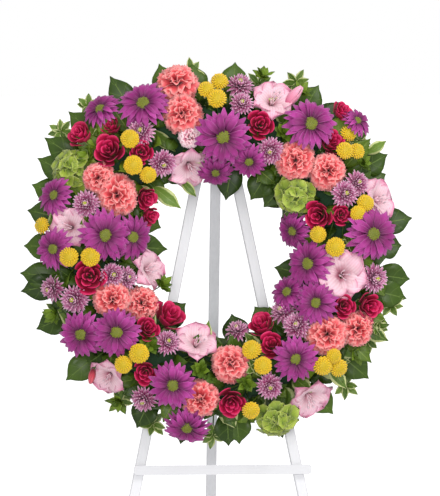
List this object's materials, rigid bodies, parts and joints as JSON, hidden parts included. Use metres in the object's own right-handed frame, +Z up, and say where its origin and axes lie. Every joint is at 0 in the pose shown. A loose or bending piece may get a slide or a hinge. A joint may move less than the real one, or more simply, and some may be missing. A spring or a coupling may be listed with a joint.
{
  "type": "funeral wreath on an easel",
  "caption": "Round funeral wreath of mixed fresh flowers on a white wooden tripod easel with a folding rear leg.",
  "frame": {"origin": "on the floor, at the middle of the easel's footprint and of the overall box", "axes": "+Z up, the wreath faces -Y, +X to the viewer's right"},
  "size_m": [0.614, 0.7057, 1.4078],
  "materials": {
    "white_wood": "satin white paint",
    "steel": "bright wire",
    "tray_plastic": "dark green",
    "floral_foam": "wet, matt",
    "daisy_petal": "velvety",
    "rose_petal": "velvety",
    "carnation_petal": "soft",
    "gladiolus_petal": "silky",
    "button_floret": "soft",
    "cushion_petal": "soft",
    "hydrangea_floret": "soft",
    "salal_leaf": "glossy",
    "pittosporum_leaf": "satin"
  },
  "bodies": {
    "front": {"front_leg_left": "white_wood", "front_leg_right": "white_wood", "crossbar": "white_wood", "head_plate": "white_wood", "hanging_nail": "steel", "pivot_rivet": "steel", "hanging_loop": "steel", "ring_tray": "tray_plastic", "foam_ring": "floral_foam", "daisy_spray_1": "daisy_petal", "daisy_spray_2": "daisy_petal", "daisy_spray_3": "daisy_petal", "daisy_spray_4": "daisy_petal", "daisy_spray_5": "daisy_petal", "daisy_spray_6": "daisy_petal", "daisy_spray_7": "daisy_petal", "rose_spray_1": "rose_petal", "rose_spray_2": "rose_petal", "rose_spray_3": "rose_petal", "rose_spray_4": "rose_petal", "rose_spray_5": "rose_petal", "rose_spray_6": "rose_petal", "rose_spray_7": "rose_petal", "carnations_1": "carnation_petal", "carnations_2": "carnation_petal", "carnations_3": "carnation_petal", "carnations_4": "carnation_petal", "carnations_5": "carnation_petal", "carnations_6": "carnation_petal", "gladiolus_1": "gladiolus_petal", "gladiolus_2": "gladiolus_petal", "gladiolus_3": "gladiolus_petal", "gladiolus_4": "gladiolus_petal", "gladiolus_5": "gladiolus_petal", "gladiolus_6": "gladiolus_petal", "button_spray_1": "button_floret", "button_spray_2": "button_floret", "button_spray_3": "button_floret", "button_spray_4": "button_floret", "button_spray_5": "button_floret", "button_spray_6": "button_floret", "cushion_spray_1": "cushion_petal", "cushion_spray_2": "cushion_petal", "cushion_spray_3": "cushion_petal", "cushion_spray_4": "cushion_petal", "cushion_spray_5": "cushion_petal", "hydrangea_1": "hydrangea_floret", "hydrangea_2": "hydrangea_floret", "hydrangea_3": "hydrangea_floret", "salal_right": "salal_leaf", "salal_left": "salal_leaf", "salal_low": "salal_leaf", "salal_inner_top": "salal_leaf", "salal_inner_left": "salal_leaf", "salal_inner_low": "salal_leaf", "salal_inner_right": "salal_leaf", "pittosporum_right": "pittosporum_leaf", "pittosporum_left": "pittosporum_leaf", "pittosporum_low": "pittosporum_leaf"},
    "rear": {"rear_leg": "white_wood"}
  },
  "joints": [
    {"name": "rear_leg_fold", "type": "hinge", "parent": "front", "child": "rear", "pos_m": [0, -0.11784, 1.27466], "axis": [1, 0, 0], "range_deg": [-28, 0]}
  ]
}
